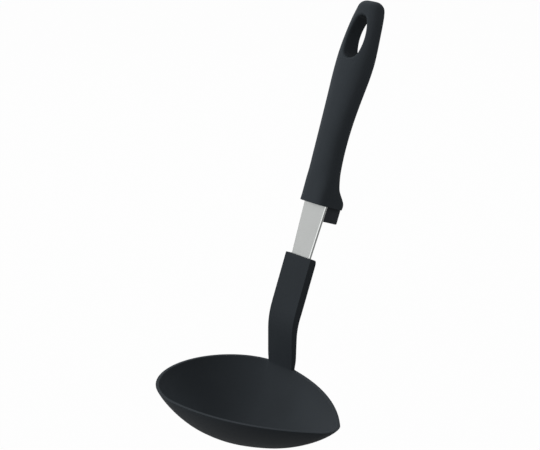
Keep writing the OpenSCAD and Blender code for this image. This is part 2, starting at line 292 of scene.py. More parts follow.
class LadleGripSizes(bpy.types.PropertyGroup):
    lean: FloatProperty(
        name="Lean", description="Angle by which the handle leans back",
        default=math.radians(21.4), unit="ROTATION")
    length: FloatProperty(
        name="Length", description="Length of the grip",
        default=0.1228, unit="LENGTH")
    width: FloatProperty(
        name="Width", description="Width of the grip at its fullest",
        default=0.0256, unit="LENGTH")
    front: FloatProperty(
        name="Front", description="Distance from the strip's middle plane to the fullest front",
        default=0.0088, unit="LENGTH")
    back: FloatProperty(
        name="Back", description="Distance from the strip's middle plane to the fullest back",
        default=0.0069, unit="LENGTH")
    end_round: FloatProperty(
        name="End rounding", description="Rounding of the top end",
        default=0.0042, unit="LENGTH")
    end_tilt: FloatProperty(
        name="End tilt", description="Angle by which the top end falls away to the back",
        default=math.radians(3), unit="ROTATION")
    mouth_edge: FloatProperty(
        name="Mouth edge", description="Distance over which the mouth's edge is rounded",
        default=0.0005, unit="LENGTH")
    hole_low: FloatProperty(
        name="Hole, lower radius", description="Radius of the hanging hole's lower end",
        default=0.0057, unit="LENGTH")
    hole_high: FloatProperty(
        name="Hole, upper radius", description="Radius of the hanging hole's upper end",
        default=0.0042, unit="LENGTH")
    hole_reach: FloatProperty(
        name="Hole reach", description="Distance between the middles of the hole's two ends",
        default=0.0158, unit="LENGTH")
    hole_side: FloatProperty(
        name="Hole sides", description="Radius of the hole's long sides",
        default=0.03, unit="LENGTH")
    hole_down: FloatProperty(
        name="Hole place", description="Distance from the top end to the hole's upper middle",
        default=0.0133, unit="LENGTH")
    hole_drop: FloatProperty(
        name="Hole drop", description="Distance by which the hole lies below the solid's",
        default=0.0004, unit="LENGTH")
    hole_edge: FloatProperty(
        name="Hole edge", description="Rounding of the hole's two edges",
        default=0.0019, unit="LENGTH")


class LadleFinishes(bpy.types.PropertyGroup):
    bowl: FloatVectorProperty(
        name="Bowl", description="Colour of the bowl and neck",
        default=(0.0298, 0.0353, 0.0408), min=0, max=1, subtype="COLOR")
    # Lighter than the grip's plastic: painted light that lifts the stop lug, which sits in shade
    core: FloatVectorProperty(
        name="Core", description="Colour of the core and stop lug",
        default=(0.043, 0.0465, 0.054), min=0, max=1, subtype="COLOR")
    grip: FloatVectorProperty(
        name="Grip", description="Colour of the grip",
        default=(0.0385, 0.0455, 0.0525), min=0, max=1, subtype="COLOR")
    steel: FloatVectorProperty(
        name="Steel", description="Colour of the steel strip",
        default=(0.54, 0.553, 0.545), min=0, max=1, subtype="COLOR")


class LadleStudio(bpy.types.PropertyGroup):
    azimuth: FloatProperty(
        name="Camera azimuth", description="Camera's angle round the ladle from its front",
        default=math.radians(48), unit="ROTATION")
    elevation: FloatProperty(
        name="Camera elevation", description="Camera's angle above the level",
        default=math.radians(18), unit="ROTATION")
    distance: FloatProperty(
        name="Camera distance", description="Distance from the point looked at",
        default=0.9197, unit="LENGTH")
    lens: FloatProperty(
        name="Lens", description="Focal length in millimetres on a 36 mm wide sensor",
        default=106.64)
    look_y: FloatProperty(
        name="Look at, back", description="The point looked at, back from the neck's front face",
        default=-0.0078, unit="LENGTH")
    look_z: FloatProperty(
        name="Look at, up", description="The point looked at, above the rim",
        default=0.09, unit="LENGTH")
    light_azimuth: FloatProperty(
        name="Light azimuth", description="Lamp's angle round the ladle from its front",
        default=math.radians(-44), unit="ROTATION")
    light_elevation: FloatProperty(
        name="Light elevation", description="Angle of the lamp's middle above the level",
        default=math.radians(20), unit="ROTATION")
    light_distance: FloatProperty(
        name="Light distance", description="Distance of the lamp from the ladle",
        default=1.3, unit="LENGTH")
    light_width: FloatProperty(
        name="Light width", description="Width of the strip lamp",
        default=0.5, unit="LENGTH")
    light_height: FloatProperty(
        name="Light height", description="Height of the strip lamp",
        default=0.8, unit="LENGTH")
    light_power: FloatProperty(
        name="Light power", description="Power of the strip lamp in watts",
        default=8.6)
    back_azimuth: FloatProperty(
        name="Back azimuth", description="Back lamp's angle round the ladle from its front",
        default=math.radians(-130), unit="ROTATION")
    back_elevation: FloatProperty(
        name="Back elevation", description="Angle of the back lamp above the level",
        default=math.radians(40), unit="ROTATION")
    back_power: FloatProperty(
        name="Back power", description="Power of the back lamp in watts",
        default=10)
    fill: FloatProperty(
        name="Fill light", description="Strength of the even light from all round",
        default=0.365, min=0)
    floor_gap: FloatProperty(
        name="Floor gap", description="Height at which the hanging ladle clears the floor",
        default=0.06, unit="LENGTH")


def lean_places(scene):
    """Distances along the handle from the hanging hole's middle, and where the rim lies."""
    neck, shank, core, grip = scene.ladle_neck, scene.ladle_shank, scene.ladle_core, scene.ladle_grip
    grip_at = neck.length + shank.shows
    hole_high = grip_at + grip.length - grip.hole_down
    middle = hole_high - grip.hole_reach / 2
    strip_back = neck.thickness / 2
    lean = grip.lean
    return SimpleNamespace(
        lean=lean,
        grip_at=grip_at - middle,
        strip_foot=neck.length - shank.in_neck - middle,
        strip_top=grip_at + shank.in_grip - middle,
        shoulder=grip_at + shank.mouth_in - middle,
        hole_low=-grip.hole_reach / 2 - grip.hole_drop,
        lug_at=grip_at - core.lug_height - middle,
        rim_y=-(middle * math.sin(lean) + strip_back * math.cos(lean)),
        rim_z=-(neck.rise + middle * math.cos(lean) - strip_back * math.sin(lean)),
    )


def rim_frame(places):
    return Matrix.Translation((0, places.rim_y, places.rim_z))


def lean_frame(places):
    return Matrix.Rotation(-places.lean, 4, "X")


def four_arcs(big, small, reach, side):
    """The arcs of an egg-shaped outline: tip, back long side, round end, front long side."""
    x = ((side - big) ** 2 - (side - small) ** 2 + reach ** 2) / (2 * reach)
    y = -math.sqrt((side - big) ** 2 - x ** 2)
    big_angle = math.atan2(-y, -x)
    small_angle = math.atan2(-y, reach - x)
    return (
        (reach, 0, small, -small_angle, small_angle),
        (x, y, side, small_angle, big_angle),
        (0, 0, big, big_angle, 2 * math.pi - big_angle),
        (x, -y, side, -big_angle, -small_angle),
    )


def bowl_arcs(bowl, inset, level):
    """The bowl's outline at a level, drawn in by an inset, with a tip that stays blunt lower down."""
    big = (bowl.round_radius - inset) * level
    small = min((bowl.tip_radius - inset) * level ** TIP_POWER, big * TIP_CAP_SHARE)
    reach = (bowl.tip_reach + bowl.tip_radius - inset) * level - small
    return four_arcs(big, small, reach, (bowl.side_radius - inset) * level)


def wall_term(level):
    return (level ** 2 + FLOOR_SHARE ** 2) ** (WALL_POWER / 2)


def wall_fall(level):
    """Share of the depth reached where the outline has shrunk to a level."""
    return ((wall_term(1) - wall_term(level)) / (wall_term(1) - wall_term(0))) ** LIP_POWER


def rim_columns(bowl, neck):
    """Columns of the bowl as (arc, share of the arc), and which of them carry the neck."""
    arcs = bowl_arcs(bowl, 0, 1)
    x, _, side, small_angle, big_angle = arcs[1]
    _, _, big, round_from, round_to = arcs[2]
    join = big * math.cos(big_angle)

    def at(place):
        if place > join:
            return 1, (math.acos((place - x) / side) - small_angle) / (big_angle - small_angle)
        return 2, (math.acos(place / big) - round_from) / (round_to - round_from)

    half = neck.width / 2
    right = [at(bowl.shift + half * c) for c in reversed(RIM_COLUMNS)]
    middle = [at(bowl.shift + half * c) for c in reversed(NECK_COLUMNS)]
    left = [at(bowl.shift - half * c) for c in RIM_COLUMNS]
    columns = [(0, i / TIP_STEPS) for i in range(TIP_STEPS)]
    columns += [(1, right[0][1] * i / BACK_SIDE_STEPS) for i in range(BACK_SIDE_STEPS)]
    first = len(columns) + len(right)
    columns += right + middle + left
    start = left[-1][1]
    columns += [(2, start + (1 - start) * i / ROUND_STEPS) for i in range(1, ROUND_STEPS)]
    columns += [(3, i / FRONT_SIDE_STEPS) for i in range(FRONT_SIDE_STEPS)]
    return columns, first


def bowl_ring(bowl, neck, columns, inset, level, lift=0):
    """One ring of the bowl in the rim's frame."""
    arcs = bowl_arcs(bowl, inset, level)
    depth = (bowl.depth - inset) * wall_fall(level)
    shift_x = bowl.deep_shift * (1 - level) - bowl.shift
    shift_y = neck.base_thickness - bowl.round_radius
    points = []
    for arc, share in columns:
        x, y, radius, start, end = arcs[arc]
        angle = start + (end - start) * share
        y += radius * math.sin(angle)
        points.append(Vector((x + radius * math.cos(angle) + shift_x, y + shift_y,
                              lift - depth + y * math.tan(bowl.rim_tilt))))
    return points


def first_ring(bm, points):
    """A closed ring of vertices, started from a circle of as many points."""
    made = bmesh.ops.create_circle(bm, cap_ends=False, segments=len(points), radius=1)
    ring = made["verts"]
    for vertex, point in zip(ring, points):
        vertex.co = point
    return ring


def next_ring(bm, ring, points):
    """Extrudes a closed ring of vertices, puts the new ones at their points and returns them."""
    edges = [bm.edges.get((a, b)) for a, b in zip(ring, ring[1:] + ring[:1])]
    made = bmesh.ops.extrude_edge_only(bm, edges=edges)
    new = {v for v in made["geom"] if isinstance(v, bmesh.types.BMVert)}
    result = [next(e.other_vert(v) for e in v.link_edges if e.other_vert(v) in new) for v in ring]
    for vertex, point in zip(result, points):
        vertex.co = point
    return result


def ring_stack(bm, rows):
    """Joined rings of vertices through rows of points."""
    rings = [first_ring(bm, rows[0])]
    for points in rows[1:]:
        rings.append(next_ring(bm, rings[-1], points))
    return rings


def close_to_point(bm, ring, point):
    """Closes a ring with a fan of faces round one vertex."""
    made = bmesh.ops.poke(bm, faces=[bm.faces.new(ring)])
    made["verts"][0].co = point


def mix(a, b, share):
    return a + (b - a) * share


def smooth(share):
    share = min(1, max(0, share))
    return share * share * (3 - 2 * share)


def sort_elements(elements, key):
    """Puts a bmesh's vertices, edges or faces in the order of a key."""
    for i, element in enumerate(sorted(elements, key=key)):
        element.index = i
    elements.sort()


def settle_order(bm):
    """Sorts a bmesh by place, because extrude leaves its faces in another order in each run."""
    sort_elements(bm.verts, lambda vertex: [round(c, PLACE_DIGITS) for c in vertex.co])
    for elements in (bm.edges, bm.faces):
        sort_elements(elements, lambda element: sorted(v.index for v in element.verts))


def finish_piece(bm, name, node, place, material, levels=0):
    """Turns a bmesh into a piece that stands for a CAD node and has its finish."""
    bmesh.ops.transform(bm, matrix=place, verts=bm.verts[:])
    bmesh.ops.recalc_face_normals(bm, faces=bm.faces[:])
    settle_order(bm)
    mesh = bpy.data.meshes.new(name)
    bm.to_mesh(mesh)
    bm.free()
    for polygon in mesh.polygons:
        polygon.use_smooth = True
    piece = bpy.data.objects.new(name, mesh)
    bpy.context.scene.collection.objects.link(piece)
    if levels:
        rounding = piece.modifiers.new("Rounding", "SUBSURF")
        rounding.levels = levels
        rounding.render_levels = levels
    mesh.materials.append(material)
    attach(piece, "root")
    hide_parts(node)
    return piece


class Wire:
    """A value in a material's nodes, on which Python's operators add Math nodes."""

    def __init__(self, finish, socket):
        self.finish = finish
        self.socket = socket

    def math(self, operation, first, second):
        return self.finish.node("ShaderNodeMath", {"operation": operation}, {0: first, 1: second})

    def __add__(self, other):
        return self.math("ADD", self, other)

    __radd__ = __add__

    def __mul__(self, other):
        return self.math("MULTIPLY", self, other)

    __rmul__ = __mul__

    def __sub__(self, other):
        return self.math("SUBTRACT", self, other)

    def __rsub__(self, other):
        return self.math("SUBTRACT", other, self)


class Finish:
    """The nodes of a material or of the world."""

    def __init__(self, owner):
        owner.use_nodes = True
        self.owner = owner
        self.nodes = owner.node_tree.nodes
        self.links = owner.node_tree.links
        self.nodes.clear()

    def node(self, kind, settings, sockets, output=0):
        """Adds a node: its settings first, then the values or links of its sockets."""
        node = self.nodes.new(kind)
        for key, value in settings.items():
            setattr(node, key, value)
        for key, value in sockets.items():
            socket = node.inputs[key]
            if isinstance(value, Wire):
                self.links.new(value.socket, socket)
            else:
                socket.default_value = value
        return Wire(self, node.outputs[output]) if node.outputs else None

    def coordinates(self, turn, scale=(1, 1, 1)):
        """Object coordinates, turned back by a lean and stretched."""
        place = self.node("ShaderNodeTexCoord", {}, {}, "Object")
        turned = self.node("ShaderNodeMapping", {"vector_type": "POINT"},
                           {"Vector": place, "Rotation": (turn, 0, 0)})
        return self.node("ShaderNodeMapping", {"vector_type": "POINT"},
                         {"Vector": turned, "Scale": scale})

    def noise(self, vector, scale, detail, roughness=0.5):
        return self.node("ShaderNodeTexNoise", {"noise_dimensions": "3D"},
                         {"Vector": vector, "Scale": scale, "Detail": detail, "Roughness": roughness})

    def blend(self, share, low, high):
        return self.node("ShaderNodeMix", {"data_type": "RGBA"}, {0: share, 6: low, 7: high}, 2)

    def tint(self, share, colour, shades):
        """A colour that varies between two shades of itself."""
        low, high = (Vector(colour) * shade for shade in shades)
        return self.blend(share, (*low, 1), (*high, 1))

    def light_path(self, ray):
        return self.node("ShaderNodeLightPath", {}, {}, ray)

    def surface(self, shader):
        self.node("ShaderNodeOutputMaterial", {}, {"Surface": shader})
        return self.owner

    def principled(self, sockets):
        return self.surface(self.node("ShaderNodeBsdfPrincipled", {}, sockets))


def moulded_plastic(name, colour, turn, gloss, grain):
    """Dark moulded plastic: fine even grain, slow mottling in colour and in sheen."""
    finish = Finish(bpy.data.materials.new(name))
    place = finish.coordinates(turn)
    cloud = finish.noise(place, CLOUD_SCALE, detail=3)
    speck = finish.noise(place, SPECK_SCALE, detail=2)
    fine = finish.noise(place, GRAIN_SCALE, detail=2, roughness=0.6)
    shade = finish.tint(cloud * 0.7 + speck * 0.3, colour, PLASTIC_SHADES)
    roughness = gloss + cloud * 0.1 + speck * 0.06
    bump = finish.node("ShaderNodeBump", {}, {
        "Strength": grain, "Distance": PLASTIC_BUMP, "Height": fine * 0.7 + speck * 0.5})
    return finish.principled({
        "Base Color": shade, "Roughness": roughness, "Normal": bump, "IOR": PLASTIC_IOR,
        "Specular IOR Level": PLASTIC_SPECULAR})


def brushed_steel(name, colour, turn):
    """Stainless strip, brushed along its length, with faint cloudy stains in the sheen and a painted
    highlight on its polished bevels.
    """
    finish = Finish(bpy.data.materials.new(name))
    strokes = finish.noise(finish.coordinates(turn, FINE_STROKE_STRETCH), FINE_STROKE_SCALE,
                           detail=3, roughness=0.65)
    broad = finish.noise(finish.coordinates(turn, BROAD_STROKE_STRETCH), BROAD_STROKE_SCALE, detail=2)
    cloud = finish.noise(finish.coordinates(turn), STAIN_SCALE, detail=2)
    polish_and_glint = finish.node("ShaderNodeAttribute", {"attribute_name": "polish_and_glint"}, {}, "Fac")
    grey = finish.tint(strokes * 0.6 + broad * 0.4, colour, STEEL_SHADES)
    # The bevels get a brighter colour, a painted highlight for the glint along the polished edges, and
    # a lower roughness for their real polish
    shade = finish.blend(polish_and_glint, grey, (*(Vector(colour) * EDGE_GLINT_SHARE), 1))
    roughness = 0.24 + strokes * 0.14 + cloud * 0.08 - polish_and_glint * 0.12
    bump = finish.node("ShaderNodeBump", {}, {
        "Strength": 0.22, "Distance": STEEL_BUMP, "Height": strokes + broad * 0.4})
    return finish.principled({
        "Base Color": shade, "Metallic": 1.0, "Roughness": roughness, "Normal": bump})


def neck_turn(neck, lean):
    """Heights along the neck's front face at which its turn starts and ends, and at its top."""
    tangent = neck.bend_radius * math.tan(lean / 2)
    start = neck.rise - tangent
    end = start + neck.bend_radius * lean
    return start, end, end + neck.length - tangent


def neck_front(neck, lean, height):
    """Point of the neck's front face and the angle it leans at, by a height along the face."""
    start, end, top = neck_turn(neck, lean)
    if height < start:
        return 0, height, 0
    if height < end:
        angle = (height - start) / neck.bend_radius
        y = neck.bend_radius * (1 - math.cos(angle))
        return y, start + neck.bend_radius * math.sin(angle), angle
    past = neck.length + height - top
    return past * math.sin(lean), neck.rise + past * math.cos(lean), lean


def neck_ring(neck, lean, labels, height, inset=0, chamfer=0):
    """One ring round the neck: labels give a share of the half width and of the thickness."""
    y, z, angle = neck_front(neck, lean, height)
    start = neck_turn(neck, lean)[0]
    grown = mix(min(1, height / start) / 2, 1, angle / lean)
    flare = neck.flare * angle / lean
    thickness = mix(neck.base_thickness, neck.thickness, grown) + neck.back_fullness + 2 * flare
    half = neck.width / 2 + flare
    points = []
    for across, deep, from_back in labels:
        back = thickness - deep if from_back else deep
        if chamfer and back > thickness - chamfer:
            back = thickness - chamfer
        back = min(max(back, inset), thickness - inset)
        back -= flare
        x = math.copysign(min(abs(across) * half, half - inset), across)
        points.append(Vector((x, y + back * math.cos(angle), z - back * math.sin(angle))))
    return points


def swell_wall(rings, inner, first, last):
    """The wall inside swells forward to meet the neck's front face."""
    swell = {c: rings[inner][c].co.y for c in range(first, last + 1)}
    swell[first - 1] = swell[first] * SWELL_SIDE_SHARE
    swell[last + 1] = swell[last] * SWELL_SIDE_SHARE
    for row, share in enumerate(SWELL_SHARES, inner):
        for column, amount in swell.items():
            rings[row][column].co.y -= max(0, amount) * share


def open_rim(bm, rings, outer, inner, first, last):
    """Opens the rim under the neck and returns the opening's edge, from the front's left end."""
    opened = {rings[r][c] for r in range(outer, inner + 1) for c in range(first, last + 1)}
    faces = [f for f in bm.faces if all(v in opened for v in f.verts)]
    front = [rings[inner][c] for c in range(last, first - 1, -1)]
    right = [rings[r][first] for r in range(inner - 1, outer, -1)]
    back = [rings[outer][c] for c in range(first, last + 1)]
    left = [rings[r][last] for r in range(outer + 1, inner)]
    bmesh.ops.delete(bm, geom=faces, context="FACES")
    return front + right + back + left


def grow_neck(bm, ring, neck, lean):
    """Grows the neck from the opening's edge up to its chamfered top."""
    sides = ((neck.edge, False), (neck.base_thickness / 2, False), (neck.edge, True))
    labels = [(share, 0, False) for share in NECK_COLUMNS]
    labels += [(1, deep, from_back) for deep, from_back in sides]
    labels += [(share, 0, True) for share in reversed(NECK_COLUMNS)]
    labels += [(-1, deep, from_back) for deep, from_back in reversed(sides)]
    base = [vertex.co.copy() for vertex in ring]
    bend, bend_end, top = neck_turn(neck, lean)
    heights = [*ROOT_HEIGHTS, bend]
    heights += [mix(bend, bend_end, (i + 1) / TURN_STEPS) for i in range(TURN_STEPS)]
    heights += [mix(bend_end, top, share) for share in NECK_TOP_SHARES]
    heights += [top - neck.chamfer * CHAMFER_FROM_SHARE]
    for height in heights:
        share = smooth(height / ROOT_BLEND)
        points = [Vector((mix(foot.x, point.x, share), mix(foot.y, point.y, share), point.z))
                  for foot, point in zip(base, neck_ring(neck, lean, labels, height))]
        ring = next_ring(bm, ring, points)
    for height, inset, chamfer in ((top - TOP_EDGE_DROP, 0, neck.chamfer * CHAMFER_START_SHARE),
                                   (top, TOP_EDGE_INSET, neck.chamfer)):
        ring = next_ring(bm, ring, neck_ring(neck, lean, labels, height, inset, chamfer))
    bm.faces.new(ring)


class LADLE_OT_bowl(bpy.types.Operator):
    """Make the bowl with its pouring tip, and the neck that grows out of its rim"""
    bl_idname = "ladle.bowl"
    bl_label = "Bowl and neck"

    def execute(self, context):
        scene = context.scene
        bowl, neck = scene.ladle_bowl, scene.ladle_neck
        places = lean_places(scene)
        columns, first = rim_columns(bowl, neck)
        last = first + len(NECK_COLUMNS) - 1
        wall = bowl.wall
        fall = -bowl.rim_round
        rows = [(0, level, 0) for level in WALL_LEVELS]
        outer = len(rows)
        rows += [(0, 1, fall), (wall * RIM_EDGE_SHARE, 1, fall * RIM_FALL_SHARE), (wall / 2, 1, 0),
                 (wall * (1 - RIM_EDGE_SHARE), 1, fall * RIM_FALL_SHARE), (wall, 1, fall)]
        inner = len(rows) - 1
        rows += [(wall, level, 0) for level in reversed(WALL_LEVELS)]
        bm = bmesh.new()
        rings = ring_stack(bm, [bowl_ring(bowl, neck, columns, *row) for row in rows])
        floor_x = bowl.deep_shift - bowl.shift
        floor_y = neck.base_thickness - bowl.round_radius
        close_to_point(bm, rings[0], Vector((floor_x, floor_y, -bowl.depth)))
        close_to_point(bm, rings[-1], Vector((floor_x, floor_y, wall - bowl.depth)))
        swell_wall(rings, inner, first, last)
        grow_neck(bm, open_rim(bm, rings, outer, inner, first, last), neck, places.lean)
        material = moulded_plastic("Bowl plastic", scene.ladle_finishes.bowl, places.lean,
                                   gloss=0.42, grain=0.22)
        finish_piece(bm, "bowl_with_neck", "bowl_and_neck", rim_frame(places),
                     material, SMOOTH_LEVELS)
        return {"FINISHED"}


class LADLE_OT_shank(bpy.types.Operator):
    """Make the steel strip that joins the neck to the grip"""
    bl_idname = "ladle.shank"
    bl_label = "Steel strip"

    def execute(self, context):
        scene = context.scene
        shank = scene.ladle_shank
        places = lean_places(scene)
        taper = (shank.high_width - shank.low_width) / 2 / shank.shows
        foot = shank.low_width / 2 - taper * shank.in_neck
        shoulder = shank.high_width / 2 + taper * shank.mouth_in
        outline = [(foot, places.strip_foot), (shoulder, places.shoulder),
                   (shank.tail_width / 2, places.shoulder), (shank.tail_width / 2, places.strip_top)]
        outline += [(-x, s) for x, s in reversed(outline)]
        bm = bmesh.new()
        polish_and_glint = bm.faces.layers.float.new("polish_and_glint")
        face = bm.faces.new([bm.verts.new((x, -shank.thickness / 2, s)) for x, s in outline])
        made = bmesh.ops.extrude_face_region(bm, geom=[face], use_keep_orig=True)
        moved = [v for v in made["geom"] if isinstance(v, bmesh.types.BMVert)]
        bmesh.ops.translate(bm, vec=(0, shank.thickness, 0), verts=moved)
        bmesh.ops.recalc_face_normals(bm, faces=bm.faces[:])
        long_edges = [e for e in bm.edges
                      if abs(e.verts[0].co.z - e.verts[1].co.z) > shank.shows
                      and abs(e.verts[0].co.y - e.verts[1].co.y) < shank.thickness / 2]
        made = bmesh.ops.bevel(bm, geom=long_edges, offset=shank.edge, segments=STRIP_SEGMENTS,
                               profile=0.5, affect="EDGES", material=-1)
        # Marks the bevel faces: their colour is brightened as a painted highlight, and they are made
        # smoother as real polished edges
        for face in made["faces"]:
            face[polish_and_glint] = 1
        material = brushed_steel("Brushed strip", scene.ladle_finishes.steel, places.lean)
        piece = finish_piece(bm, "steel_strip", "tang", lean_frame(places), material)
        for polygon in piece.data.polygons:
            polygon.use_smooth = False
        return {"FINISHED"}


def block(bm, low, high):
    """A plain block between two corners."""
    low, high = Vector(low), Vector(high)
    made = bmesh.ops.create_cube(bm, size=1)
    bmesh.ops.scale(bm, vec=high - low, verts=made["verts"])
    bmesh.ops.translate(bm, vec=(low + high) / 2, verts=made["verts"])


class LADLE_OT_core(bpy.types.Operator):
    """Make the core inside the grip and the stop lug that it carries"""
    bl_idname = "ladle.core"
    bl_label = "Core and stop lug"

    def execute(self, context):
        scene = context.scene
        core, shank, grip = scene.ladle_core, scene.ladle_shank, scene.ladle_grip
        places = lean_places(scene)
        front = shank.thickness / 2 + core.fit
        top = places.grip_at - core.fit
        bm = bmesh.new()
        block(bm, (-core.lug_width / 2, front, places.lug_at),
              (core.lug_width / 2, core.lug_reach, top))
        softened = [e for e in bm.edges if not all(abs(v.co.z - top) < core.fit for v in e.verts)]
        bmesh.ops.bevel(bm, geom=softened, offset=core.edge, segments=LUG_SEGMENTS, profile=0.5,
                        affect="EDGES", material=-1)
        root_back = grip.back * grip_value(core.root_height / grip.length, 3) - core.root_inset
        block(bm, (-core.width / 2, front, places.lug_at + core.lug_height / 2),
              (core.width / 2, root_back, places.grip_at + core.root_height))
        block(bm, (-core.width / 2, -core.thickness / 2, places.shoulder + core.fit),
              (core.width / 2, core.thickness / 2, places.strip_top + core.past))
        # The core's colour is lightened, painted light for the shaded stop lug
        material = moulded_plastic("Core plastic with painted light", scene.ladle_finishes.core, places.lean,
                                   gloss=0.4, grain=0.18)
        piece = finish_piece(bm, "core_with_stop_lug", "handle_core",
                             lean_frame(places), material)
        piece.data.set_sharp_from_angle(angle=SHARP_ANGLE)
        return {"FINISHED"}


def grip_value(share, column):
    """Smooth value between the rows of the grip's sections, by a cubic through neighbours."""
    rows = GRIP_SECTIONS
    i = 0
    while share > rows[i + 1][0] and i < len(rows) - 2:
        i += 1

    def slope(k):
        a, b = max(k - 1, 0), min(k + 1, len(rows) - 1)
        return (rows[b][column] - rows[a][column]) / (rows[b][0] - rows[a][0])

    span = rows[i + 1][0] - rows[i][0]
    u = (share - rows[i][0]) / span
    return (rows[i][column] * (2 * u ** 3 - 3 * u ** 2 + 1)
            + rows[i + 1][column] * (3 * u ** 2 - 2 * u ** 3)
            + slope(i) * span * (u ** 3 - 2 * u ** 2 + u)
            + slope(i + 1) * span * (u ** 3 - u ** 2))


def hole_outline(grip, wider):
    """Half of the hole's outline from its low end to its high end, as (across, along) pairs."""
    arcs = four_arcs(grip.hole_low + wider, grip.hole_high + wider, grip.hole_reach,
                     grip.hole_side + wider)
    small_angle, big_angle = arcs[1][3:]
    turns = []
    for arc, start, end, steps in ((2, math.pi, big_angle, HOLE_END_STEPS),
                                   (1, big_angle, small_angle, HOLE_SIDE_STEPS),
                                   (0, small_angle, 0, HOLE_TIP_STEPS)):
        turns += [(arcs[arc], mix(start, end, i / steps)) for i in range(steps)]
    turns.append((arcs[0], 0))
    return [(y + radius * math.sin(angle), x + radius * math.cos(angle))
            for (x, y, radius, _, _), angle in turns]


def signed_power(value, power):
    return math.copysign(abs(value) ** power, value)


def grip_section(grip, share, inset):
    """Half width, front, back and roundness of the grip at a share of its length."""
    half = grip.width / 2 * grip_value(share, 1) - inset
    front = grip.front * grip_value(share, 2) - inset
    back = grip.back * grip_value(share, 3) - inset
    power = mix(GRIP_POWER, MOUTH_POWER, max(0, 1 - share / MOUTH_SHARE))
    return half, front, back, power


def grip_point(section, x, side, s):
    """Point of the grip's surface at a place across it, on its back (side 1) or front (side -1)."""
    half, front, back, power = section
    height = (1 - min(1, abs(x) / half) ** power) ** (1 / power)
    return Vector((x, (back - front) / 2 + side * (front + back) / 2 * height, s))


def grip_ring(grip, share, inset, s, spread):
    """One ring of the grip; the spread moves its points aside to make room for the hole."""
    section = grip_section(grip, share, inset)
    half, power = section[0], section[3]
    points = []
    for i in range(GRIP_COLUMNS):
        angle = 2 * math.pi * i / GRIP_COLUMNS
        x = half * signed_power(math.cos(angle), 2 / power)
        if i % (GRIP_COLUMNS // 4):
            x = math.copysign(spread + abs(x) * (1 - spread / half), x)
        elif i % (GRIP_COLUMNS // 2):
            x = 0
        point = grip_point(section, x, math.copysign(1, math.sin(angle)), s)
        point.z -= point.y * math.tan(grip.end_tilt) * smooth((share - END_FROM) / (1 - END_FROM))
        points.append(point)
    return points


def hole_ring(grip, places, side, turned):
    """A ring round the hanging hole's edge, from the grip's surface (0) to the hole's wall (1)."""
    angle = math.pi / 2 * turned
    half = hole_outline(grip, grip.hole_edge * (1 - math.sin(angle)))
    outline = half + [(-across, along) for across, along in half[-2:0:-1]]
    points = []
    for across, along in outline:
        s = places.hole_low + along
        point = grip_point(grip_section(grip, (s - places.grip_at) / grip.length, 0), across, side, s)
        point.y -= side * grip.hole_edge * (1 - math.cos(angle))
        points.append(point)
    return points


def grip_shell(bm, grip, places, opened):
    """The grip without its hole; returns its rings beside the hole and their places."""
    start = places.grip_at
    straight = 1 - grip.end_round / grip.length
    widest = max(across for across, _ in opened)
    hole_from = places.hole_low + opened[0][1]
    hole_half = (opened[-1][1] - opened[0][1]) / 2

    def spread(s):
        place = (s - hole_from) / hole_half - SPREAD_MIDDLE_SHARE
        near = max(0, 1 - (place / SPREAD_REACH_SHARE) ** 2)
        return widest * SPREAD_WIDTH_SHARE * near ** SPREAD_POWER

    stations = [start, start + grip.mouth_edge]
    stations += [start + grip.length * share for share in GRIP_RINGS]
    beside = slice(len(stations), len(stations) + len(opened))
    stations += [places.hole_low + along for _, along in opened]
    stations += [start + grip.length * share for share in (*GRIP_TOP_RINGS, straight)]
    rows = []
    for s in stations:
        inset = grip.mouth_edge * MOUTH_INSET_SHARE if s == start else 0
        rows.append(grip_ring(grip, (s - start) / grip.length, inset, s, spread(s)))
    for i in range(1, END_STEPS + 1):
        angle = math.pi / 2 * i / END_STEPS
        share = straight + (1 - straight) * math.sin(angle)
        inset = grip.end_round * (1 - math.cos(angle))
        rows.append(grip_ring(grip, share, inset, start + grip.length * share, 0))
    rings = ring_stack(bm, rows)
    bottom, top = bm.faces.new(rings[0]), bm.faces.new(rings[-1])
    for face, thickness in ((bottom, grip.mouth_edge), (top, grip.end_round * END_INSET_SHARE)):
        bmesh.ops.inset_region(bm, faces=[face], thickness=thickness, use_even_offset=True)
    return rings[beside], stations[beside]


def cut_hole(bm, grip, places, rings, stations):
    """Splits a seam on each side, draws it apart to the hole's outline, rounds and joins them."""
    quarter = GRIP_COLUMNS // 4
    last = len(rings) - 1
    wall_edges = []
    for column, side in ((quarter, 1), (3 * quarter, -1)):
        seam = [ring[column] for ring in rings]
        edges = [bm.edges.get((a, b)) for a, b in zip(seam, seam[1:])]
        split = bmesh.ops.split_edges(bm, edges=edges)
        found = {}
        for vertex in {v for e in split["edges"] for v in e.verts}:
            across = sum(f.calc_center_median().x for f in vertex.link_faces)
            row = min(range(last + 1), key=lambda i: abs(stations[i] - vertex.co.z))
            found[row, across > 0 and 0 < row < last] = vertex
        ring = [found[i, 0 < i < last] for i in range(last + 1)]
        ring += [found[i, False] for i in range(last - 1, 0, -1)]
        for vertex, point in zip(ring, hole_ring(grip, places, side, 0)):
            vertex.co = point
        for i in range(1, ROUNDING_STEPS + 1):
            ring = next_ring(bm, ring, hole_ring(grip, places, side, i / ROUNDING_STEPS))
        wall_edges += [bm.edges.get((a, b)) for a, b in zip(ring, ring[1:] + ring[:1])]
    bmesh.ops.bridge_loops(bm, edges=wall_edges)


class LADLE_OT_grip(bpy.types.Operator):
    """Make the moulded grip with its flared mouth and hanging hole"""
    bl_idname = "ladle.grip"
    bl_label = "Grip"

    def execute(self, context):
        scene = context.scene
        grip = scene.ladle_grip
        places = lean_places(scene)
        bm = bmesh.new()
        rings, stations = grip_shell(bm, grip, places, hole_outline(grip, grip.hole_edge))
        cut_hole(bm, grip, places, rings, stations)
        material = moulded_plastic("Grip plastic", scene.ladle_finishes.grip, places.lean,
                                   gloss=0.45, grain=0.25)
        finish_piece(bm, "moulded_grip", "grip", lean_frame(places), material,
                     SMOOTH_LEVELS)
        return {"FINISHED"}


